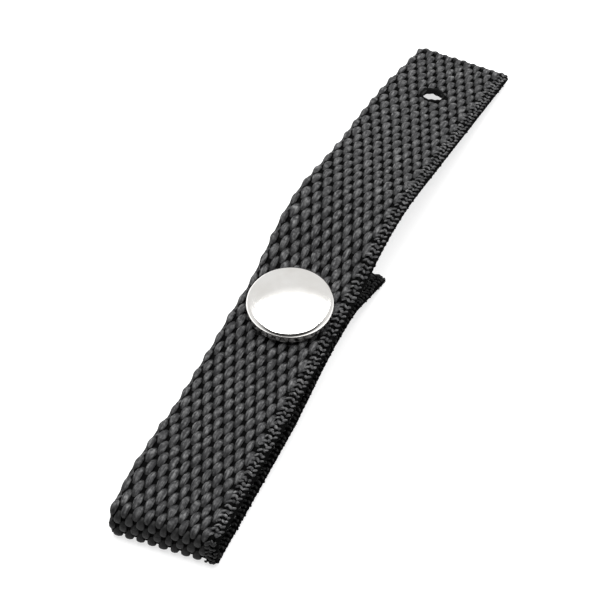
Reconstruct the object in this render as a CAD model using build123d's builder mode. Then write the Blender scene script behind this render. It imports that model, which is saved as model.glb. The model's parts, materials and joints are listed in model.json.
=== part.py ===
from build123d import *
import math
import os

# A short webbing strap, folded under at one end and snapped to itself with a press stud,
# so that it makes a loop. Its free end has a screw hole.
#
# Frame: X runs along the strap from the fold to the free end, Y across it and Z up.
# The origin is the middle of the strap's box, on the surface that the strap lies on.
# Side profiles are drawn on a plane whose own origin is at the foot of the fold, so their
# lengths are measured from the fold. The press stud is drawn from the top of the upper
# layer, out from the stud's axis and up along it.

# Driving dimensions, in millimetres and degrees

# Webbing
webbing_width = 18.6
webbing_thickness = 1.5
overall_length = 127.8
fold_height = 7.8
layer_gap = 3.6

# Upper layer, followed from the fold to the free end
snap_slope = 4.0
rise_slope = 14.0
free_slope = -13.5
rise_start = 58.6
rise_radius = 18.0
arch_radius = 42.0
free_end_height = 2.1
hole_distance = 113.7
hole_offset = 0.7
hole_radius = 2.1
free_corner_radius = 1.4

# Lower layer, followed from the fold to its cut end
loop_slope = 4.5
loop_bend = 31.0
snap_run_start = 42.5
loop_radius = 60.0
tail_bend = 56.6
tail_radius = 13.0
tail_length = 69.7
tail_corner_radius = 0.8

# Hinge lines
running_clearance = 0.06
lift_range = 75.0

# Press stud
snap_distance = 48.2
cap_radius = 7.7
cap_height = 3.5
cap_edge = 0.9
cap_wall = 0.8
cap_lip = 6.4
sheet = 0.35
post_radius = 1.8
post_bore = 1.4
post_clearance = 0.05
post_flange_radius = 6.6
roll_width = 1.1
flange = 0.35
plate_radius = 5.3
plate_thickness = 0.4
socket_radius = 5.2
socket_height = 2.65
socket_rounding = 0.35
mouth_radius = 3.6
channel_radius = 3.95
channel_height = 0.75
ring_radius = 3.35
ring_wire_radius = 0.3
ring_gap_angle = 24.0
stud_radius = 5.0
stud_height = 2.3
stud_head_radius = 3.15
stud_head_height = 1.15
stud_neck_radius = 2.85
stud_bore = 2.5
stud_fillet = 0.3
eyelet_radius = 4.9

# Worked out from the driving dimensions

half_thickness = webbing_thickness / 2
fold_foot = Vector(-overall_length / 2, 0, 0)
side = Plane(origin=fold_foot, x_dir=(1, 0, 0), z_dir=(0, -1, 0))

lower_crease = Vector(half_thickness, half_thickness)
upper_crease = Vector(half_thickness, fold_height - half_thickness)


def heading(slope):
    """Direction along a layer that climbs at this slope, in the side plane."""
    return Vector(math.cos(math.radians(slope)), math.sin(math.radians(slope)))


def upward(slope):
    """Direction square to a layer that climbs at this slope, in the side plane."""
    return Vector(-math.sin(math.radians(slope)), math.cos(math.radians(slope)))


def rise(slope, run):
    """Height gained over a horizontal run at this slope."""
    return run * math.tan(math.radians(slope))


# Corners of the upper layer's top line
top_start = upper_crease + upward(snap_slope) * half_thickness
top_rise = Vector(rise_start, top_start.Y + rise(snap_slope, rise_start - top_start.X))
free_drop = free_end_height + rise(-free_slope, overall_length - top_rise.X) - top_rise.Y
arch_run = free_drop / (rise(rise_slope, 1) - rise(free_slope, 1))
top_arch = top_rise + Vector(arch_run, rise(rise_slope, arch_run))
top_end = Vector(overall_length, free_end_height)

# The arch is level over its arc's centre, and the free end bends there
arch_tangent = arch_radius * math.tan(math.radians((rise_slope - free_slope) / 2))
arch_centre = (
    top_arch - heading(rise_slope) * arch_tangent - upward(rise_slope) * arch_radius
)
flex_line = arch_centre + Vector(0, arch_radius - half_thickness)

# Corners of the lower layer's bottom line, which runs parallel to the upper layer where
# the press stud holds it and comes down to the surface at its cut end
layers = (layer_gap + 2 * webbing_thickness) / math.cos(math.radians(snap_slope))
snap_run_foot = top_start.Y - rise(snap_slope, top_start.X) - layers
bottom_start = Vector(half_thickness, 0)
bottom_loop = Vector(loop_bend, rise(loop_slope, loop_bend - half_thickness))
bottom_snap = Vector(snap_run_start, snap_run_foot + rise(snap_slope, snap_run_start))
bottom_bend = Vector(tail_bend, snap_run_foot + rise(snap_slope, tail_bend))
bottom_end = Vector(tail_length, 0)

# Where the press stud's axis crosses the upper layer's top, and the plane of its profiles
snap_point = Vector(
    snap_distance, top_start.Y + rise(snap_slope, snap_distance - top_start.X)
)
snap_origin = side.from_local_coords(snap_point)
snap_radial = Vector(heading(snap_slope).X, 0, heading(snap_slope).Y)
profile = Plane(origin=snap_origin, x_dir=snap_radial, z_dir=(0, -1, 0))
snap_plane = Plane(origin=snap_origin, x_dir=snap_radial, z_dir=profile.y_dir)
snap_axis = Axis(snap_origin, profile.y_dir)

# Where the screw hole's axis crosses the upper layer's top, a little off the middle line
hole_point = Vector(
    hole_distance, free_end_height + rise(-free_slope, overall_length - hole_distance)
)
hole_normal = Vector(upward(free_slope).X, 0, upward(free_slope).Y)
hole_plane = Plane(
    origin=side.from_local_coords(hole_point), x_dir=(0, 1, 0), z_dir=hole_normal
)

# Levels along the press stud's axis, from the upper layer's top
upper_bottom = -webbing_thickness
plate_bottom = upper_bottom - plate_thickness
socket_bottom = plate_bottom - socket_height
lower_top = upper_bottom - layer_gap
lower_bottom = lower_top - webbing_thickness
stud_top = lower_top + stud_height
socket_web_bottom = plate_bottom - flange
roll_bottom = socket_web_bottom - flange
mouth_top = socket_bottom + flange
channel_top = mouth_top + channel_height

# The cap's dome, its shoulder, its short upright wall and its rolled rim are tangent
rim_centre = cap_radius - cap_edge
shoulder = cap_edge + cap_wall
dome_base = cap_height - shoulder
dome_radius = (rim_centre**2 + dome_base**2 - cap_edge**2) / (2 * (dome_base - cap_edge))
dome_centre = cap_height - dome_radius
dome_angle = math.degrees(math.atan2(rim_centre, dome_radius - dome_base))

# Webbing outlines

with BuildSketch(side) as upper_layer:
    with BuildLine():
        FilletPolyline(
            top_start, top_rise, top_arch, top_end, radius=[rise_radius, arch_radius]
        )
        offset(amount=webbing_thickness, side=Side.RIGHT)
    make_face()

with BuildSketch(side) as lower_layer:
    with BuildLine():
        FilletPolyline(
            bottom_start, bottom_loop, bottom_snap, bottom_bend, bottom_end,
            radius=[loop_radius, loop_radius, tail_radius],
        )
        offset(amount=webbing_thickness, side=Side.LEFT)
    make_face()

# The wall between the two creases, rounded about both hinge lines
crease_distance = (upper_crease - lower_crease).length
crease_middle = (upper_crease + lower_crease) / 2
slot_thickness = webbing_thickness + 2 * running_clearance


def short_edges(face):
    """The edges of a cut end that run through the webbing's thickness."""
    return face.edges().filter_by(lambda edge: edge.length < 2 * webbing_thickness)


# Lower layer: from the lower crease to the cut end beyond the press stud

with BuildPart() as lower_leg:
    with BuildSketch(side):
        add(lower_layer.sketch_local)
        with Locations(crease_middle):
            SlotCenterToCenter(
                crease_distance, slot_thickness, rotation=90, mode=Mode.SUBTRACT
            )
    extrude(amount=webbing_width / 2, both=True)
    fillet(short_edges(lower_leg.faces().sort_by(Axis.X)[-1]), tail_corner_radius)
    with BuildSketch(snap_plane.offset(lower_top)):
        Circle(post_radius + post_clearance)
    extrude(amount=webbing_thickness, both=True, mode=Mode.SUBTRACT)
lower_leg.part.label = "lower_leg"

# Fold: the short wall at the end of the loop, rounded about both of its hinge lines

with BuildPart() as fold_link:
    with BuildSketch(side):
        with Locations(crease_middle):
            SlotCenterToCenter(crease_distance, webbing_thickness, rotation=90)
    extrude(amount=webbing_width / 2, both=True)
fold_link.part.label = "fold_link"

# Upper layer: from the upper crease to the top of the arch, notched where it bends up

with BuildPart() as strap_leg:
    with BuildSketch(side):
        add(upper_layer.sketch_local)
        with Locations(crease_middle):
            SlotCenterToCenter(
                crease_distance, slot_thickness, rotation=90, mode=Mode.SUBTRACT
            )
        with Locations(flex_line):
            Rectangle(
                overall_length, overall_length,
                align=(Align.MIN, Align.CENTER), mode=Mode.SUBTRACT,
            )
            Circle(slot_thickness / 2, mode=Mode.SUBTRACT)
            Rectangle(
                fold_height, slot_thickness, rotation=lift_range,
                align=(Align.MIN, Align.CENTER), mode=Mode.SUBTRACT,
            )
    extrude(amount=webbing_width / 2, both=True)
    with BuildSketch(snap_plane):
        Circle(post_radius + post_clearance)
    extrude(amount=webbing_thickness, both=True, mode=Mode.SUBTRACT)
strap_leg.part.label = "strap_leg"

# Free end: from the top of the arch to the cut end with the screw hole

with BuildPart() as mount_leg:
    with BuildSketch(side):
        add(upper_layer.sketch_local)
        with Locations(flex_line):
            Rectangle(
                overall_length, overall_length,
                align=(Align.MAX, Align.CENTER), mode=Mode.SUBTRACT,
            )
            Circle(half_thickness)
    extrude(amount=webbing_width / 2, both=True)
    fillet(short_edges(mount_leg.faces().sort_by(Axis.X)[-1]), free_corner_radius)
    with BuildSketch(hole_plane):
        with Locations((hole_offset, 0)):
            Circle(hole_radius)
    extrude(amount=webbing_thickness, both=True, mode=Mode.SUBTRACT)
mount_leg.part.label = "mount_leg"

# Cap: a domed cover whose rim is rolled under and grips the post's flange

with BuildPart() as cap_shell:
    with BuildSketch(profile):
        with BuildLine():
            CenterArc((0, dome_centre), dome_radius, 90, -dome_angle)
            CenterArc((rim_centre, shoulder), cap_edge, 90 - dome_angle, dome_angle - 90)
            Line((cap_radius, shoulder), (cap_radius, cap_edge))
            CenterArc((rim_centre, cap_edge), cap_edge, 0, -90)
            Line((rim_centre, 0), (cap_lip, 0))
            offset(amount=sheet, side=Side.RIGHT)
        make_face()
    revolve(axis=snap_axis)
cap_shell.part.label = "cap_shell"

# Post: the cap's flanged tube, which goes down through the webbing and is rolled out
# under the socket

with BuildPart() as cap_post:
    with BuildSketch(profile):
        with BuildLine():
            Polyline(
                (post_bore, flange), (post_bore, roll_bottom),
                (post_radius + roll_width, roll_bottom),
                (post_radius + roll_width, socket_web_bottom),
                (post_radius, socket_web_bottom), (post_radius, 0), (cap_lip - flange, 0),
                (cap_lip - flange, sheet), (post_flange_radius, sheet),
                (post_flange_radius, 2 * sheet), (cap_lip - 2 * flange, 2 * sheet),
                (cap_lip - 3 * flange, flange), close=True,
            )
        make_face()
    revolve(axis=snap_axis)
cap_post.part.label = "cap_post"

# Socket: a washer against the webbing, a cup with a channel inside its mouth, and a
# split ring spring that lies in the channel

with BuildPart() as socket_plate:
    with BuildSketch(snap_plane.offset(plate_bottom)):
        Circle(plate_radius)
        Circle(post_radius + post_clearance, mode=Mode.SUBTRACT)
    extrude(amount=plate_thickness)
    fillet(socket_plate.edges().sort_by(SortBy.LENGTH)[-2:], plate_thickness / 3)
socket_plate.part.label = "socket_plate"

with BuildPart() as socket_body:
    with BuildSketch(profile):
        with BuildLine():
            Polyline(
                (post_radius + post_clearance, plate_bottom), (socket_radius, plate_bottom),
                (socket_radius, socket_bottom), (mouth_radius, socket_bottom),
                (mouth_radius, mouth_top), (channel_radius, mouth_top),
                (channel_radius, channel_top), (mouth_radius, channel_top),
                (mouth_radius, channel_top + flange / 2),
                (socket_radius - 2 * flange, channel_top + 1.5 * flange),
                (socket_radius - 2 * flange, socket_web_bottom),
                (post_radius + post_clearance, socket_web_bottom), close=True,
            )
        make_face()
    revolve(axis=snap_axis)
    outer_rims = socket_body.edges().filter_by(
        lambda edge: abs(edge.length - 2 * math.pi * socket_radius) < 0.01
    )
    fillet(outer_rims, socket_rounding)
socket_body.part.label = "socket_body"

with BuildPart() as socket_spring:
    with BuildSketch(profile):
        with Locations((ring_radius, mouth_top + ring_wire_radius)):
            Circle(ring_wire_radius)
    revolve(axis=snap_axis, revolution_arc=360 - ring_gap_angle)
socket_spring.part.label = "socket_spring"

# Stud: a pressed flange on the lower layer with a hollow head that snaps into the ring

with BuildPart() as stud_body:
    with BuildSketch(profile):
        with BuildLine():
            head = ThreePointArc(
                (stud_neck_radius, stud_top - stud_head_height),
                (stud_head_radius, stud_top - stud_head_height / 2),
                (stud_neck_radius - stud_fillet / 2, stud_top),
            )
            Polyline(
                head @ 1, (post_radius, stud_top), (post_radius, stud_top - sheet),
                (stud_bore, stud_top - sheet), (stud_bore, lower_top + flange),
                (post_radius + post_clearance, lower_top + flange),
                (post_radius + post_clearance, lower_top), (stud_radius, lower_top),
                (stud_radius, lower_top + flange),
                (stud_neck_radius + stud_fillet, lower_top + flange),
            )
            RadiusArc(
                (stud_neck_radius + stud_fillet, lower_top + flange),
                (stud_neck_radius, lower_top + flange + stud_fillet), -stud_fillet,
            )
            Line((stud_neck_radius, lower_top + flange + stud_fillet), head @ 0)
        make_face()
    revolve(axis=snap_axis)
stud_body.part.label = "stud_body"

# Eyelet: the flanged tube under the lower layer that rivets the stud to the webbing

with BuildPart() as eyelet_post:
    with BuildSketch(profile):
        with BuildLine():
            Polyline(
                (post_bore, lower_bottom - flange), (eyelet_radius, lower_bottom - flange),
                (eyelet_radius, lower_bottom), (post_radius, lower_bottom),
                (post_radius, lower_top + flange),
                (stud_bore - post_clearance, lower_top + flange),
                (stud_bore - post_clearance, lower_top + 2 * flange),
                (post_bore, lower_top + 2 * flange), close=True,
            )
        make_face()
    revolve(axis=snap_axis)
    outer_rim = eyelet_post.edges().filter_by(
        lambda edge: abs(edge.length - 2 * math.pi * eyelet_radius) < 0.01
    )
    fillet(outer_rim, flange / 3)
eyelet_post.part.label = "eyelet_post"

# Each piece is written to its own file

pieces = [
    lower_leg, fold_link, strap_leg, mount_leg, cap_shell, cap_post,
    socket_plate, socket_body, socket_spring, stud_body, eyelet_post,
]
os.makedirs("parts", exist_ok=True)
for piece in pieces:
    export_step(piece.part, f"parts/{piece.part.label}.step")
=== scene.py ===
import json
import math

import bpy
import numpy as np
from mathutils import Matrix, Vector


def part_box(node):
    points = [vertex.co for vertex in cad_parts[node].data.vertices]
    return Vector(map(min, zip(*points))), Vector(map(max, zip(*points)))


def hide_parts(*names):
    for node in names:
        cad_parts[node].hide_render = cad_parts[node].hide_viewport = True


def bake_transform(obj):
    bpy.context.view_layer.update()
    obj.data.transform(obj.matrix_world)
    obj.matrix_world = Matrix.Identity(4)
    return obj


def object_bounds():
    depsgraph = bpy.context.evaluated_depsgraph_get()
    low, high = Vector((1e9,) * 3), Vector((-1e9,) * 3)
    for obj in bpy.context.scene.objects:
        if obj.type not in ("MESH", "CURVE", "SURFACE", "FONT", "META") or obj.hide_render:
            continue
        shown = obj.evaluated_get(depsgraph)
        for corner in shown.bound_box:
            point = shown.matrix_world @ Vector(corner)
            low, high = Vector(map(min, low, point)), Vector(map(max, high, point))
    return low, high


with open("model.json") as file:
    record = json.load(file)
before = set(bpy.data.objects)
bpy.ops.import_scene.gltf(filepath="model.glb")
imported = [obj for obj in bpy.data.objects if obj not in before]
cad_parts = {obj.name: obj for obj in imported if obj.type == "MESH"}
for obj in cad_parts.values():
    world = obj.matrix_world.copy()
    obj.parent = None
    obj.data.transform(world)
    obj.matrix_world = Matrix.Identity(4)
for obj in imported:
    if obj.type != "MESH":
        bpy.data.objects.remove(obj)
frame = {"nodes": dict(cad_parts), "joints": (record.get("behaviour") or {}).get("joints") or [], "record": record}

# A short webbing strap, folded into a loop and closed by a press stud.
#
# The metal pieces are the CAD nodes with better materials. The webbing is woven here: every
# yarn is a closed tube that is first laid out flat, in strap coordinates (along the strap
# from the cut end of its lower layer, across it to the left, and out from its middle), and
# then laid along the strap's mid-line, which runs through the frame's joints and its hole.

cad_low, cad_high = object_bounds()

mm = 0.001
random = np.random.default_rng(7)

# Webbing: sizes and slopes that the CAD model has too
strap_width = 18.6 * mm
half_thickness = 0.75 * mm
layer_spacing = 5.1 * mm
snap_slope = math.radians(4.0)
rise_slope = math.radians(14.0)
loop_slope = math.radians(4.5)
tail_slope = math.radians(-21.24)
rise_start = 58.6 * mm
loop_bend = 31.0 * mm
snap_run_start = 42.5 * mm
snap_distance = 48.2 * mm
post_radius = 1.85 * mm
crease_radius = 0.95 * mm
tail_radius = 12.2 * mm
loop_radius = 60.0 * mm
rise_radius = 18.0 * mm
arch_radius = 41.2 * mm
corner_radius = 1.4 * mm

# How far the woven cut ends run on past the CAD model's
tip_overhang = 1.0 * mm
tail_overhang = 0.45 * mm

# Weave
columns = 19
knitted_columns = 2
column_pitch = 1.0 * mm
tight_pick_pitch = 2.03 * mm
loose_pick_pitch = 2.28 * mm
ring_spacing = 0.26 * mm
warp_crimp = 0.38 * mm
warp_half_thickness = 0.37 * mm
warp_half_width = 0.57 * mm
crown_half_width = 0.7 * mm
edge_warp_share = 0.8
crown_flatness = 0.8
crown_taper = 1.6
weft_crimp = 0.02 * mm
weft_half_thickness = 0.1 * mm
weft_half_width = 0.95 * mm
warp_sides = 10
weft_sides = 8
thread_sides = 6
hole_gap = 0.1 * mm

# Left edge, where the weft turns back round a dark core yarn
left_core = strap_width / 2 - 0.6 * mm
left_core_half_width = 0.42 * mm
left_core_half_height = 0.3 * mm
weft_turn = strap_width / 2 - 0.65 * mm
weft_end = strap_width / 2 - 0.35 * mm
turn_reach = 0.5 * mm
turn_half_width = 0.3 * mm
turn_half_height = 0.34 * mm

# Right edge, knitted: its core yarns (how far in from the edge, half-width, half-height) and
# its rows of stitches (where each starts and ends, in from the edge, and its lean)
knit_edge_line = -strap_width / 2 - 0.3 * mm
knit_cores = np.array([(1.45, 0.58, 0.5), (0.5, 0.5, 0.48)]) * mm
stitch_rows = np.array([(2.2, 1.5, 0.3), (1.45, 0.85, -0.26), (0.8, 0.25, 0.24)]) * mm
stitch_height = 0.42 * mm
stitch_rise = 0.2 * mm
stitch_half_thickness = 0.17 * mm
wrap_middle = 0.5 * mm
wrap_reach = 0.36 * mm
wrap_height = 0.46 * mm
wrap_half_width = 0.2 * mm
wrap_half_thickness = 0.16 * mm

# Melted edges
seal_inset = 0.28 * mm
seal_half_width = 0.3 * mm
seal_half_height = 0.5 * mm
rim_gap = 0.1 * mm
rim_half_width = 0.24 * mm
rim_half_height = 0.72 * mm


def smooth(value, start, end):
    """From 0 at start to 1 at end, smoothly."""
    share = np.clip((value - start) / (end - start), 0, 1)
    return share * share * (3 - 2 * share)


def window(value, start, end, margin):
    """1 between start and end, falling smoothly to 0 over a margin outside them."""
    return smooth(value, start - margin, start) * (1 - smooth(value, end, end + margin))


# The strap's mid-line

joints = {joint["name"]: joint for joint in frame["joints"]}
screw_hole = frame["record"]["mounts"][0]


def in_profile(point):
    """The X and Z of a point, as an array."""
    return np.array([point[0], point[2]])


def heading(slope):
    """The direction of a line with this slope."""
    return np.array([math.cos(slope), math.sin(slope)])


def upward(slope):
    """The direction square to a slope, on its upper side."""
    return np.array([-math.sin(slope), math.cos(slope)])


def at_distance(line_point, slope, distance):
    """The point of a sloping line that is this far from the fold, measured along X."""
    return line_point + heading(slope) * (cad_low.x + distance - line_point[0]) / math.cos(slope)


def meeting(first, first_slope, second, second_slope):
    """Where two lines cross, each given by a point and a slope."""
    both = np.array([heading(first_slope), -heading(second_slope)]).T
    return first + heading(first_slope) * np.linalg.solve(both, second - first)[0]


crease_low = in_profile(joints["fold_lower"]["pos_m"])
crease_high = in_profile(joints["fold_upper"]["pos_m"])
hole_middle = in_profile(screw_hole["pos_m"])
free_slope = -math.atan2(screw_hole["axis"][0], screw_hole["axis"][2])

# Lower layer, from its cut end to the fold
tail_end = np.array([
    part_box("lower_leg")[1].x + half_thickness * math.sin(tail_slope),
    cad_low.z + half_thickness * math.cos(tail_slope),
]) + heading(tail_slope) * tail_overhang
snap_run = crease_high - upward(snap_slope) * layer_spacing
tail_turn = meeting(snap_run, snap_slope, tail_end, tail_slope)
snap_turn = at_distance(snap_run, snap_slope, snap_run_start)
loop_turn = at_distance(crease_low, loop_slope, loop_bend)

# Upper layer, from the fold to the cut end with the hole
rise_turn = at_distance(crease_high, snap_slope, rise_start)
arch_turn = meeting(rise_turn, rise_slope, hole_middle, free_slope)
tip_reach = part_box("mount_leg")[1].x + half_thickness * math.sin(free_slope) + tip_overhang
free_tip = at_distance(hole_middle, free_slope, tip_reach - cad_low.x)


def rounded_line(points, radii, spacing):
    """Distances, places and angles along a line through points, its corners rounded."""
    runs = np.diff(points, axis=0)
    angles = np.unwrap([math.atan2(run[1], run[0]) for run in runs])
    turns = np.diff(angles)
    cuts = [0, *(np.array(radii) * np.tan(np.abs(turns) / 2)), 0]
    distances, headings = [0.0], [angles[0]]
    for index, run in enumerate(runs):
        straight = np.linalg.norm(run) - cuts[index] - cuts[index + 1]
        distances.append(distances[-1] + straight)
        headings.append(angles[index])
        if index < len(radii):
            distances.append(distances[-1] + radii[index] * abs(turns[index]))
            headings.append(angles[index + 1])
    along = np.arange(0, distances[-1], spacing)
    angle = np.interp(along + spacing / 2, distances, headings)
    steps = np.stack([np.cos(angle), np.sin(angle)], axis=1) * spacing
    places = points[0] + np.vstack([[0, 0], np.cumsum(steps, axis=0)[:-1]])
    return along, places, angle


line_along, line_places, line_angle = rounded_line(
    [tail_end, tail_turn, snap_turn, loop_turn, crease_low,
     crease_high, rise_turn, arch_turn, free_tip],
    [tail_radius, loop_radius, loop_radius, crease_radius,
     crease_radius, rise_radius, arch_radius],
    0.01 * mm,
)
strap_length = line_along[-1]


def on_ring(along):
    """The nearest place along the strap where every warp yarn has a ring of points."""
    return round(along / ring_spacing) * ring_spacing


fold_middle = on_ring(np.mean(line_along[np.abs(line_angle - math.pi / 2) < 0.01]))


def along_at(x, upper):
    """How far along the strap the mid-line has this X, in its upper or its lower layer."""
    layer = line_along > fold_middle if upper else line_along < fold_middle
    return line_along[layer][np.abs(line_places[layer, 0] - x).argmin()]


def distance_from_fold(along):
    """How far a place along the strap is from the fold's outside, measured along X."""
    return np.interp(along, line_along, line_places[:, 0]) - cad_low.x


# Holes through the webbing, each with its place along and across the strap and its radius

snap_top = at_distance(crease_high + upward(snap_slope) * half_thickness, snap_slope, snap_distance)
snap_upper = snap_top - upward(snap_slope) * half_thickness
snap_lower = snap_upper - upward(snap_slope) * layer_spacing
snap_upper_along = along_at(snap_upper[0], True)
snap_lower_along = along_at(snap_lower[0], False)
screw_along = along_at(hole_middle[0], True)
screw_radius = screw_hole["dims"]["r_mm"] * mm


# How the soft strap lies off its straight CAD shape, and where its left edge wanders

lower_shift_at_fold = 0.45 * mm
lower_shift_at_loop = 0.4 * mm
lower_shift_at_snap = 0.95 * mm
lower_shift_at_tail = 0.55 * mm
sideways_turn = 4 * mm
fold_push = 0.6 * mm
fold_skew = 0.9 * mm
fold_hold = 3 * mm
fold_reach = 14 * mm
left_edge_sag = 0.7 * mm
left_edge_lift = 1.0 * mm

# Distances from the fold: where the edge sags and lifts (from, to and the margin outside
# them), and its strays to the left
sag_window = (24 * mm, 36 * mm, 8 * mm)
lift_window = (60 * mm, 72 * mm, 9 * mm)
left_edge_places = np.array([0, 8, 20, 32, 50, 66, 80, 90, 100, 114, 124]) * mm
left_edge_strays = np.array([0.1, 0.7, 0.25, 0.1, -0.1, 0.4, 0.15, 0.05, 0.6, 0.7, 0.15]) * mm


def sideways(along):
    """How far the lower layer lies to the left of the upper one."""
    distance = distance_from_fold(along)
    shift = np.interp(
        distance,
        [0, loop_bend, snap_distance, distance_from_fold(0)],
        [lower_shift_at_fold, lower_shift_at_loop, lower_shift_at_snap, lower_shift_at_tail],
    )
    return shift * (1 - smooth(along, fold_middle - sideways_turn, fold_middle + sideways_turn))


def lay(points):
    """Takes points from strap coordinates to their places on the folded strap."""
    along, across, out = points[:, 0], points[:, 1], points[:, 2]
    inside = np.clip(along, 0, strap_length)
    angle = np.interp(inside, line_along, line_angle)
    x = np.interp(inside, line_along, line_places[:, 0])
    z = np.interp(inside, line_along, line_places[:, 1])
    x = x + (along - inside) * np.cos(angle) - out * np.sin(angle)
    z = z + (along - inside) * np.sin(angle) + out * np.cos(angle)
    share = across / (strap_width / 2)
    near_fold = 1 - smooth(np.abs(along - fold_middle), fold_hold, fold_reach)
    x = x - near_fold * (fold_push + fold_skew * share)
    distance = distance_from_fold(inside)
    left = np.clip(share, 0, None) ** 2 * (along > fold_middle)
    z = z - left * left_edge_sag * window(distance, *sag_window)
    z = z + left * left_edge_lift * window(distance, *lift_window)
    stray = np.interp(distance, left_edge_places, left_edge_strays)
    return np.stack([x, across + sideways(along) + left * stray, z], axis=1)


holes = [
    (screw_along, screw_hole["pos_m"][1], screw_radius),
    (snap_upper_along, 0, post_radius),
    (snap_lower_along, -sideways(snap_lower_along), post_radius),
]


# The weave

pick_pitches = loose_pick_pitch - (loose_pick_pitch - tight_pick_pitch) * (
    1 - smooth(line_along, fold_middle + 20 * mm, fold_middle + 60 * mm)
)
line_picks = np.cumsum(np.gradient(line_along) / pick_pitches)
pick_count = int(line_picks[-1])


def picks_at(along):
    """How many weft yarns have been crossed at a place along the strap."""
    return np.interp(along, line_along, line_picks)


def cut_back(across):
    """How far the rounded corners of a cut end take it back, across the strap."""
    beyond = np.abs(across) - (strap_width / 2 - corner_radius)
    beyond = np.clip(beyond, 0, corner_radius)
    return corner_radius - np.sqrt(corner_radius**2 - beyond**2)


cut_melt = 0.8 * mm
# The melt round the screw hole reaches hole_melt past its edge. In the yarn's colour, this ring is also painted
# shadow.
hole_melt = 0.55 * mm
melt_shrink = 0.5
press_depth = 0.14
press_radius = 6.6 * mm
press_margin = 2 * mm


def melt_and_hole_shade_mask(along, across):
    """From 0 in open webbing to 1 where it is cut hot, at both ends and round the hole. In the yarn's colour, the
    ring round the hole is also painted shadow.
    """
    end = np.minimum(along, strap_length - along) - cut_back(across)
    rim = np.hypot(along - screw_along, across - screw_hole["pos_m"][1]) - screw_radius
    return np.maximum(1 - smooth(end, 0, cut_melt), 1 - smooth(rim, 0, hole_melt))


def fullness(along, across):
    """The share of its loose thickness that the weave has, where it is melted or pressed."""
    share = 1 - melt_shrink * melt_and_hole_shade_mask(along, across)
    for place, middle, _ in holes[1:]:
        distance = np.hypot(along - place, across - middle)
        pressed = 1 - smooth(distance, press_radius, press_radius + press_margin)
        share = share - press_depth * pressed
    return share


# Painted shade: the warp's colour is darkened towards its mid-level, in the valleys between the crowns. It is
# darkened far more along the lower layer and the fold, up to just past the fold's middle, where less light falls.
painted_lit_height = 0.65 * mm
painted_shade_height = -0.05 * mm
top_start = fold_middle + 2.2 * mm
top_end = fold_middle + 4.2 * mm
painted_light_below_top = 0.15


def painted_shading(points):
    """From 0 where the weave is sheltered to 1 where its crowns stand out: painted shade, darker between the
    crowns and far darker along the lower layer and the fold.
    """
    along, out = points[:, 0], points[:, 2]
    crown = smooth(np.abs(out), painted_shade_height, painted_lit_height)
    top = smooth(along, top_start, top_end)
    return crown * (painted_light_below_top + (1 - painted_light_below_top) * top)


def open_parts(start, end, cuts):
    """What is left of a stretch without its cuts, each a middle and the square of its reach."""
    parts = [(start, end)]
    for middle, reach_squared in cuts:
        if reach_squared > 0:
            low, high = middle - math.sqrt(reach_squared), middle + math.sqrt(reach_squared)
            parts = [
                part
                for a, b in parts
                for part in ((a, min(b, low)), (max(a, high), b))
                if part[1] - part[0] > ring_spacing / 2
            ]
    return parts


def open_runs(start, end, across):
    """The stretches of a line along the strap that no hole cuts."""
    cuts = [
        (place, (radius + hole_gap) ** 2 - (across - middle) ** 2)
        for place, middle, radius in holes
    ]
    return open_parts(start, end, cuts)


def open_spans(start, end, along):
    """The stretches of a line across the strap that no hole cuts."""
    cuts = [
        (middle, (radius + hole_gap) ** 2 - (along - place) ** 2)
        for place, middle, radius in holes
    ]
    return open_parts(start, end, cuts)


def stations(start, end, spacing):
    """Places from start to end, both of them and the multiples of spacing between."""
    inner = np.arange(math.ceil(start / spacing), math.floor(end / spacing) + 1) * spacing
    inner = inner[(inner > start + spacing / 4) & (inner < end - spacing / 4)]
    return np.concatenate([[start], inner, [end]])


def waver(values, period, size):
    """A slow, uneven wander, for yarns that aren't quite straight or even."""
    phases = random.uniform(0, 2 * math.pi, 3)
    waves = [np.sin(2 * math.pi * values / (period * k) + p) for k, p in zip((1, 1.7, 2.9), phases)]
    return size * sum(waves) / 3


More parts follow.
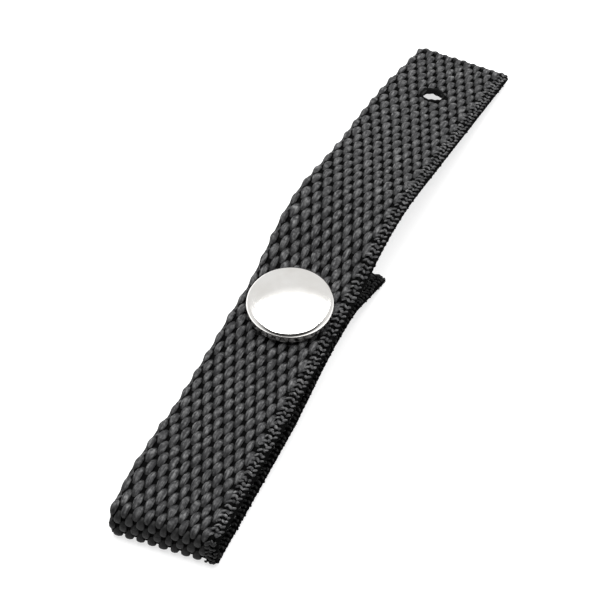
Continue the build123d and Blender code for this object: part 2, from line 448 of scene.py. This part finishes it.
class Web:
    """Closed tubes gathered into one mesh, each vertex first in strap coordinates."""

    def __init__(self):
        self.points, self.faces, self.uvs, self.finishes = [], [], [], []
        self.count = 0

    def tube(self, centres, across, up, sides, finish, squareness=1.0, closed=False):
        """Adds a tube round a line of centres, its rings spanned by across and up."""
        rings = len(centres)
        turn = 2 * math.pi * np.arange(sides) / sides
        wide = np.sign(np.cos(turn)) * np.abs(np.cos(turn)) ** squareness
        high = np.sign(np.sin(turn)) * np.abs(np.sin(turn)) ** squareness
        points = (
            centres[:, None]
            + across[:, None] * wide[None, :, None]
            + up[:, None] * high[None, :, None]
        )
        self.points.append(points.reshape(-1, 3))
        lengths = np.linalg.norm(np.diff(centres, axis=0), axis=1)
        run = np.concatenate([[0], np.cumsum(lengths)])
        reach = np.linalg.norm(across, axis=1) + np.linalg.norm(up, axis=1)
        girth = math.pi * np.mean(reach)
        offset = random.uniform(0, 40) * mm
        last = rings if closed else rings - 1
        for i in range(last):
            after = (i + 1) % rings
            near = run[i] + offset
            far = offset + (run[i] + lengths[0] if after == 0 else run[after])
            for j in range(sides):
                beside = (j + 1) % sides
                self.faces.append((
                    self.count + i * sides + j, self.count + after * sides + j,
                    self.count + after * sides + beside, self.count + i * sides + beside,
                ))
                start, end = j * girth / sides, (j + 1) * girth / sides
                self.uvs += [near, start, far, start, far, end, near, end]
        self.finishes += [finish] * (last * sides)
        if not closed:
            first_cap = [self.count + j for j in range(sides)]
            last_cap = [self.count + (rings - 1) * sides + j for j in reversed(range(sides))]
            self.faces += [tuple(first_cap), tuple(last_cap)]
            for face_run in (run[0], run[-1]):
                for j in range(sides):
                    self.uvs += [face_run + offset, j * girth / sides]
            self.finishes += [finish, finish]
        self.count += rings * sides

    def piece(self, name, materials):
        """Lays the tubes along the strap and makes them one object."""
        flat = np.vstack(self.points)
        mesh = bpy.data.meshes.new(name)
        mesh.from_pydata(lay(flat).tolist(), [], self.faces)
        mesh.uv_layers.new(name="yarn").data.foreach_set("uv", np.array(self.uvs) / mm)
        # Melted ends and hole rim, painted nearly black in the yarn's colour. Round the screw hole this also
        # stands for painted shadow.
        melt_and_hole_shade = mesh.attributes.new("melt_and_hole_shade", "FLOAT", "POINT")
        melt_and_hole_shade.data.foreach_set("value", melt_and_hole_shade_mask(flat[:, 0], flat[:, 1]).astype(np.float32))
        # Painted shade: how lit each point of the weave is painted, for the yarn's colour.
        painted_shade_factor = mesh.attributes.new("painted_shade_factor", "FLOAT", "POINT")
        painted_shade_factor.data.foreach_set("value", painted_shading(flat).astype(np.float32))
        for material in materials:
            mesh.materials.append(material)
        mesh.polygons.foreach_set("material_index", self.finishes)
        mesh.set_sharp_from_angle(angle=math.radians(70))
        mesh.update()
        obj = bpy.data.objects.new(name, mesh)
        bpy.context.scene.collection.objects.link(obj)
        return obj


along_axis, across_axis, up_axis = np.eye(3)
warp_finish, weft_finish, seal_finish = 0, 1, 2


def directions(centres):
    """The unit direction of a line of centres at each of them."""
    way = np.gradient(centres, axis=0)
    return way / np.linalg.norm(way, axis=1)[:, None]


def tilted_rings(centres, half_width, half_height, side):
    """Ring vectors for a yarn that runs in the plane square to side: to that side, and up."""
    up = np.cross(directions(centres), side)
    return side * half_width[:, None], up * half_height[:, None]


# How each warp yarn wanders across the strap, and how its width varies along it
warp_waver = [
    (
        waver(line_along, period=23 * mm, size=0.05 * mm),
        1 + waver(line_along, period=9 * mm, size=0.12),
    )
    for _ in range(columns)
]
crown_sizes = random.uniform(0.9, 1.06, (columns, pick_count + 2))


def weave_warp(web, start, end):
    """The yarns that run along the strap, over and under the weft in turn."""
    for column in range(knitted_columns, columns):
        across = (column - (columns - 1) / 2) * column_pitch
        first = max(start, cut_back(across))
        last = min(end, strap_length - cut_back(across))
        outermost = column == columns - 1
        for low, high in open_runs(first, last, across):
            along = stations(low, high, ring_spacing)
            phase = np.cos(math.pi * (picks_at(along) + column))
            full = fullness(along, across)
            wander, uneven = (np.interp(along, line_along, wave) for wave in warp_waver[column])
            height = np.sign(phase) * np.abs(phase) ** crown_flatness
            centres = np.stack([along, across + wander, warp_crimp * full * height], axis=1)
            swell = (crown_half_width - warp_half_width) * np.abs(phase) ** crown_taper
            crown = np.round(picks_at(along)).astype(int)
            size = crown_sizes[column, np.clip(crown, 0, crown_sizes.shape[1] - 1)]
            width = (warp_half_width + swell) * uneven * (1 + (size - 1) * phase**2)
            width = width * (edge_warp_share if outermost else 1)
            sides = tilted_rings(centres, width, warp_half_thickness * full, across_axis)
            web.tube(centres, *sides, warp_sides, warp_finish)


def weave_weft(web, start, end):
    """The yarns that run across, with a loop round the left edge from each to the next."""
    for pick in range(1, pick_count + 1):
        place = np.interp(pick, line_picks, line_along)
        if not start <= place < end:
            continue
        for low, high in open_spans(-weft_end, weft_end, place):
            across = stations(low, high, column_pitch / 2)
            full = fullness(place, across)
            phase = np.cos(math.pi * (pick + across / column_pitch + (columns - 1) / 2))
            centres = np.stack([np.full_like(across, place), across, -weft_crimp * phase], axis=1)
            taper = 1 - 0.25 * smooth(np.abs(across), weft_end - 1.0 * mm, weft_end)
            sides = tilted_rings(
                centres, weft_half_width * taper * full, weft_half_thickness * full, along_axis
            )
            web.tube(centres, *sides, weft_sides, weft_finish)


def edge_loops(web, start, end):
    """The weft's turns at the left edge, where it goes round the outermost warp yarn."""
    for pick in range(1, pick_count):
        place = np.interp(pick, line_picks, line_along)
        after = np.interp(pick + 1, line_picks, line_along)
        if not start <= (place + after) / 2 < end:
            continue
        turn = np.linspace(0, math.pi, 9)
        side = (-1) ** pick
        centres = np.stack([
            (place + after) / 2 - np.cos(turn) * (after - place) / 2,
            weft_turn + turn_reach * np.sin(turn),
            side * 0.1 * mm * np.sin(turn),
        ], axis=1)
        up = np.tile(up_axis, (len(turn), 1))
        web.tube(
            centres, np.cross(directions(centres), up) * turn_half_width, up * turn_half_height,
            weft_sides, warp_finish,
        )


def edge_cord(web, start, end, across, half_width, half_height):
    """A dark core yarn that fills an edge of the strap from end to end."""
    first = max(start, cut_back(across) + 0.1 * mm)
    last = min(end, strap_length - cut_back(across) - 0.1 * mm)
    along = stations(first, last, ring_spacing)
    beads = 1 + 0.1 * np.cos(4 * math.pi * picks_at(along))
    full = fullness(along, across)
    centres = np.stack([along, np.full_like(along, across), np.zeros_like(along)], axis=1)
    sides = tilted_rings(centres, half_width * beads, half_height * full * beads, across_axis)
    web.tube(centres, *sides, weft_sides, weft_finish)


def stitch(web, first, last, side, width):
    """A short bead of edge thread between two places on one face, its ends pulled in."""
    share = np.linspace(0, 1, 6)
    rise = np.sin(math.pi * (0.12 + 0.76 * share))
    centres = np.stack([
        first[0] + (last[0] - first[0]) * share,
        first[1] + (last[1] - first[1]) * share,
        side * (stitch_height + stitch_rise * rise) * fullness(first[0], first[1]),
    ], axis=1)
    way = directions(centres)
    across = np.cross(way, up_axis)
    up = np.cross(across, way)
    plump = (0.55 + 0.45 * rise)[:, None]
    web.tube(
        centres, across * width * plump, up * stitch_half_thickness * plump,
        thread_sides, warp_finish,
    )


def knit_edge(web, start, end):
    """The right edge, where the weft's turns are caught in a close chain of small stitches."""
    for inset, half_width, half_height in knit_cores:
        edge_cord(web, start, end, knit_edge_line + inset, half_width, half_height)
    for loop in range(1, int(2 * line_picks[-1]) + 1):
        place = np.interp(loop / 2, line_picks, line_along)
        in_piece = start <= place < end
        if not in_piece or not cut_melt <= place <= strap_length - cut_melt:
            continue
        for side in (-1, 1):
            for inner, outer, lean in stitch_rows:
                shake = random.uniform(-0.2, 0.2, 3) * mm
                first = (place - lean + shake[0], knit_edge_line + inner + shake[1])
                last = (place + lean + shake[0], knit_edge_line + outer + shake[2])
                stitch(web, first, last, side, random.uniform(0.22, 0.32) * mm)
        turn = np.linspace(-0.5, 0.5, 7) * math.pi
        centres = np.stack([
            place + random.uniform(-0.15, 0.15) * mm + 0.2 * mm * np.sin(turn),
            knit_edge_line + wrap_middle - wrap_reach * np.cos(turn),
            wrap_height * np.sin(turn),
        ], axis=1)
        way = directions(centres)
        side = np.cross(way, across_axis)
        side /= np.linalg.norm(side, axis=1)[:, None]
        up = np.cross(side, way)
        web.tube(
            centres, side * wrap_half_width, up * wrap_half_thickness, thread_sides, weft_finish
        )


def sealed_edge(web, at_tip):
    """The bead of melted yarn along a cut end, with a lump for every other warp yarn."""
    across = np.linspace(-1, 1, 120) * (strap_width / 2 - 0.25 * mm)
    inset = cut_back(across) + seal_inset
    along = strap_length - inset if at_tip else inset
    lumps = 1 + 0.3 * np.cos(math.pi * across / column_pitch)
    lumps = lumps + waver(across, period=5 * mm, size=0.12)
    centres = np.stack([along, across, waver(across, period=6 * mm, size=0.06 * mm)], axis=1)
    up = np.tile(up_axis, (len(across), 1))
    side = np.cross(directions(centres), up)
    web.tube(
        centres, side * (seal_half_width * lumps)[:, None], up * (seal_half_height * lumps)[:, None],
        warp_sides, seal_finish,
    )


def hole_rim(web):
    """The melted wall of the punched screw hole."""
    turn = 2 * math.pi * np.arange(48) / 48
    outward = np.stack([np.cos(turn), np.sin(turn), np.zeros_like(turn)], axis=1)
    bumps = 1 + 0.14 * np.cos(5 * turn + 1) + 0.1 * np.cos(11 * turn)
    reach = screw_radius + rim_gap + 0.05 * mm * np.cos(7 * turn)
    centre = np.array([screw_along, screw_hole["pos_m"][1], 0])
    up = np.tile(up_axis, (len(turn), 1))
    web.tube(
        centre + outward * reach[:, None], outward * rim_half_width * bumps[:, None],
        up * (rim_half_height * bumps)[:, None], warp_sides, weft_finish,
        squareness=0.8, closed=True,
    )


# Materials


def shader(name, metallic, roughness, specular=0.5):
    """A new material, its node tree and its Principled shader."""
    material = bpy.data.materials.new(name)
    material.use_nodes = True
    principled = material.node_tree.nodes["Principled BSDF"]
    principled.inputs["Metallic"].default_value = metallic
    principled.inputs["Roughness"].default_value = roughness
    principled.inputs["Specular IOR Level"].default_value = specular
    return material, material.node_tree, principled


def node(tree, kind, **values):
    """A new node with these values on its properties or, by name, on its inputs."""
    made = tree.nodes.new(kind)
    for name, value in values.items():
        if name in made.inputs:
            made.inputs[name].default_value = value
        else:
            setattr(made, name, value)
    return made


def noise(tree, vector, scale, detail):
    """A noise texture on these coordinates."""
    texture = node(tree, "ShaderNodeTexNoise", Scale=scale, Detail=detail)
    tree.links.new(vector, texture.inputs["Vector"])
    return texture.outputs["Fac"]


def mapped(tree, value, low, high, reach=0.2):
    """A value within this reach of one half, taken to low and high."""
    made = tree.nodes.new("ShaderNodeMapRange")
    made.inputs["From Min"].default_value = 0.5 - reach
    made.inputs["From Max"].default_value = 0.5 + reach
    made.inputs["To Min"].default_value = low
    made.inputs["To Max"].default_value = high
    tree.links.new(value, made.inputs["Value"])
    return made.outputs["Result"]


def colour_mix(tree, factor, first, second):
    """A colour that goes from first to second with the factor."""
    made = tree.nodes.new("ShaderNodeMix")
    made.data_type = "RGBA"
    tree.links.new(factor, made.inputs[0])
    for socket, value in ((made.inputs[6], first), (made.inputs[7], second)):
        if isinstance(value, tuple):
            socket.default_value = (*value, 1)
        else:
            tree.links.new(value, socket)
    return made.outputs[2]


def bumped(tree, principled, height, strength, distance):
    """Gives a shader a bump from a height."""
    made = node(tree, "ShaderNodeBump", Strength=strength, Distance=distance)
    tree.links.new(height, made.inputs["Height"])
    tree.links.new(made.outputs["Normal"], principled.inputs["Normal"])


def yarn_material(name, dark, light, roughness, specular):
    """Black filament yarn: fine fibres along it, uneven in tone, with painted shade that darkens it between its
    crowns and along the lower layer and the fold, and nearly black where it is cut hot, which round the screw hole
    is also painted shadow.
    """
    material, tree, principled = shader(name, 0, roughness, specular)
    yarn = node(tree, "ShaderNodeUVMap", uv_map="yarn")
    fibres_along = node(tree, "ShaderNodeMapping", Rotation=(0, 0, 0.2), Scale=(0.4, 2.2, 1))
    tree.links.new(yarn.outputs["UV"], fibres_along.inputs["Vector"])
    fibres = noise(tree, fibres_along.outputs["Vector"], 1.6, 3)
    place = node(tree, "ShaderNodeTexCoord")
    patches = noise(tree, place.outputs["Object"], 420, 2)
    mottle = noise(tree, place.outputs["Object"], 1500, 3)
    melt_and_hole_shade = node(tree, "ShaderNodeAttribute", attribute_name="melt_and_hole_shade")
    fibre_colour = colour_mix(tree, mapped(tree, fibres, 0, 1, 0.14), dark, light)
    mottled_colour = colour_mix(tree, mapped(tree, mottle, 0.05, 0.9, 0.12), fibre_colour, dark)
    patch_colour = colour_mix(tree, mapped(tree, patches, 0.0, 0.4), mottled_colour, dark)
    # Painted shade: near black where little light is painted, between the crowns and on the lower layer and the
    # fold.
    painted_shade_factor = node(tree, "ShaderNodeAttribute", attribute_name="painted_shade_factor")
    painted_shade_colour = colour_mix(tree, painted_shade_factor.outputs["Fac"], (0.002, 0.002, 0.002), patch_colour)
    # Nearly black where melted: real melt at the cut ends, and also painted shadow in the ring round the screw
    # hole.
    melt_and_hole_shade_colour = colour_mix(tree, melt_and_hole_shade.outputs["Fac"], painted_shade_colour, (0.008, 0.008, 0.008))
    tree.links.new(melt_and_hole_shade_colour, principled.inputs["Base Color"])
    shine = mapped(tree, fibres, roughness - 0.08, roughness + 0.08)
    tree.links.new(shine, principled.inputs["Roughness"])
    bumped(tree, principled, fibres, 0.5, 0.06 * mm)
    return material


def sealed_material():
    """Yarn melted into a dark, lumpy skin."""
    material, tree, principled = shader("sealed_webbing", 0, 0.5, 0.2)
    place = node(tree, "ShaderNodeTexCoord")
    lumps = noise(tree, place.outputs["Object"], 1400, 3)
    colour = colour_mix(tree, mapped(tree, lumps, 0, 1), (0.006, 0.006, 0.006), (0.03, 0.03, 0.031))
    tree.links.new(colour, principled.inputs["Base Color"])
    tree.links.new(mapped(tree, lumps, 0.4, 0.6), principled.inputs["Roughness"])
    bumped(tree, principled, lumps, 0.6, 0.12 * mm)
    return material


def metal_material(name, dull, bright, smoothest, roughest, grain):
    """Plated or drawn metal with a faint unevenness in its shine."""
    material, tree, principled = shader(name, 1, smoothest)
    place = node(tree, "ShaderNodeTexCoord")
    clouds = noise(tree, place.outputs["Object"], 240, 3)
    colour = colour_mix(tree, mapped(tree, clouds, 0, 1), dull, bright)
    tree.links.new(colour, principled.inputs["Base Color"])
    fine = noise(tree, place.outputs["Object"], 2600, 2)
    shine = mapped(tree, fine, smoothest, roughest)
    tree.links.new(shine, principled.inputs["Roughness"])
    bumped(tree, principled, clouds, 0.15, grain)
    return material


warp_material = yarn_material(
    "warp_yarn", dark=(0.014, 0.014, 0.015), light=(0.17, 0.17, 0.171),
    roughness=0.62, specular=0.2,
)
# Weft painted nearly black, darker than the warp's darkest. This is black yarn, and also painted shade for the
# deep shadow in the gaps between the crowns where the weft shows. The same near-black colours the edge cores, the
# knit edge's wraps and the hole's wall.
weft_shade_material = yarn_material(
    "weft_yarn_painted_shade", dark=(0.002, 0.002, 0.002), light=(0.006, 0.006, 0.006),
    roughness=0.8, specular=0.01,
)
webbing_materials = [warp_material, weft_shade_material, sealed_material()]
nickel = metal_material(
    "nickel_plate", dull=(0.78, 0.76, 0.73), bright=(0.86, 0.85, 0.83),
    smoothest=0.07, roughest=0.14, grain=0.02 * mm,
)
spring_steel = metal_material(
    "spring_steel", dull=(0.5, 0.5, 0.5), bright=(0.66, 0.66, 0.65),
    smoothest=0.25, roughest=0.4, grain=0.01 * mm,
)

for name, cad_node in frame["nodes"].items():
    cad_node.data.materials.clear()
    cad_node.data.materials.append(spring_steel if name == "socket_spring" else nickel)


# The webbing's three pieces, which meet half-way up the fold and before the arch

arch_start_distance = 61 * mm
arch_end_distance = 85 * mm
arch_start = on_ring(along_at(cad_low.x + arch_start_distance, True))
arch_end = along_at(cad_low.x + arch_end_distance, True)


def webbing_piece(name, start, end):
    """One stretch of webbing, with whatever edge, seal or hole it has."""
    web = Web()
    weave_warp(web, start, end)
    weave_weft(web, start, end)
    edge_cord(web, start, end, left_core, left_core_half_width, left_core_half_height)
    edge_loops(web, start, end)
    knit_edge(web, start, end)
    if start <= 0:
        sealed_edge(web, False)
    if end >= strap_length:
        sealed_edge(web, True)
        hole_rim(web)
    return web.piece(name, webbing_materials)


lower_webbing = webbing_piece("lower_webbing", 0, fold_middle)
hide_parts("lower_leg", "fold_link")
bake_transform(lower_webbing)

upper_webbing = webbing_piece("upper_webbing", fold_middle, arch_start)
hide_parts("strap_leg")
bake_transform(upper_webbing)

free_webbing = webbing_piece("free_webbing", arch_start, strap_length)
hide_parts("mount_leg")
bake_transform(free_webbing)


# Floor, light and camera

camera_azimuth = math.radians(24.794)
camera_elevation = math.radians(49.419)
camera_roll = math.radians(0.542)
camera_distance = 423.03 * mm
camera_target = Vector((-4.993, 2.344, 0)) * mm
sensor_width = 36
lens = 138.284

floor_mesh = bpy.data.meshes.new("floor")
floor_reach = 3.0
floor_mesh.from_pydata(
    [(x * floor_reach, y * floor_reach, cad_low.z - 0.02 * mm)
     for x, y in ((-1, -1), (1, -1), (1, 1), (-1, 1))],
    [], [(0, 1, 2, 3)],
)
floor = bpy.data.objects.new("floor", floor_mesh)
bpy.context.scene.collection.objects.link(floor)
floor_material, _, floor_shader = shader("pale_floor", 0, 0.8, 0.1)
floor_shader.inputs["Base Color"].default_value = (0.4, 0.4, 0.4, 1)
floor_shader.inputs["Emission Color"].default_value = (1, 1, 1, 1)
floor_shader.inputs["Emission Strength"].default_value = 0.7
floor.data.materials.append(floor_material)


def soft_box(name, place, target, size, power):
    """A square studio light that faces a target."""
    data = bpy.data.lights.new(name, "AREA")
    data.shape = "SQUARE"
    data.size = size
    data.energy = power
    light = bpy.data.objects.new(name, data)
    light.location = place
    light.rotation_euler = (Vector(target) - Vector(place)).to_track_quat("-Z", "Y").to_euler()
    bpy.context.scene.collection.objects.link(light)
    return light


overhead = soft_box(
    "overhead_light", place=(0.05, 0.02, 0.6), target=(0.05, 0.02, 0), size=0.6, power=6.5
)
overhead.rotation_euler.z = camera_azimuth

world = bpy.data.worlds.new("studio")
world.use_nodes = True
sky = world.node_tree
sky_place = sky.nodes.new("ShaderNodeTexCoord")


def lobe(centre, start, end, outside, inside):
    """A value that goes smoothly from outside to inside as directions near the centre."""
    facing = node(sky, "ShaderNodeVectorMath", operation="DOT_PRODUCT")
    facing.inputs[1].default_value = centre
    sky.links.new(sky_place.outputs["Generated"], facing.inputs[0])
    shade = node(sky, "ShaderNodeMapRange", interpolation_type="SMOOTHSTEP")
    for name, value in (
        ("From Min", start), ("From Max", end), ("To Min", outside), ("To Max", inside),
    ):
        shade.inputs[name].default_value = value
    sky.links.new(facing.outputs["Value"], shade.inputs["Value"])
    return shade.outputs["Result"]


# A dark patch on the camera's side, and a bright one round the overhead light
camera_side = lobe((-0.6, -0.28, 0.75), start=0.35, end=0.8, outside=0.88, inside=0.06)
halo = lobe((0.1, 0.05, 0.99), start=0.78, end=0.93, outside=0, inside=0.8)
sky_strength = node(sky, "ShaderNodeMath", operation="ADD")
sky.links.new(camera_side, sky_strength.inputs[0])
sky.links.new(halo, sky_strength.inputs[1])
sky.links.new(sky_strength.outputs["Value"], sky.nodes["Background"].inputs["Strength"])
sky.nodes["Background"].inputs["Color"].default_value = (1, 1, 1, 1)
bpy.context.scene.world = world
bpy.context.scene.view_settings.view_transform = "Standard"

forward = Vector((
    math.cos(camera_azimuth) * math.cos(camera_elevation),
    math.sin(camera_azimuth) * math.cos(camera_elevation),
    -math.sin(camera_elevation),
))
level = forward.cross(Vector((0, 0, 1))).normalized()
upright = level.cross(forward)
camera_right = level * math.cos(camera_roll) + upright * math.sin(camera_roll)
camera_up = -level * math.sin(camera_roll) + upright * math.cos(camera_roll)
camera_data = bpy.data.cameras.new("camera")
camera_data.sensor_width = sensor_width
camera_data.lens = lens
camera_data.clip_start = 0.01
camera = bpy.data.objects.new("camera", camera_data)
camera.matrix_world = Matrix.Translation(camera_target - forward * camera_distance) @ Matrix(
    (camera_right, camera_up, -forward)
).transposed().to_4x4()
bpy.context.scene.collection.objects.link(camera)
bpy.context.scene.camera = camera
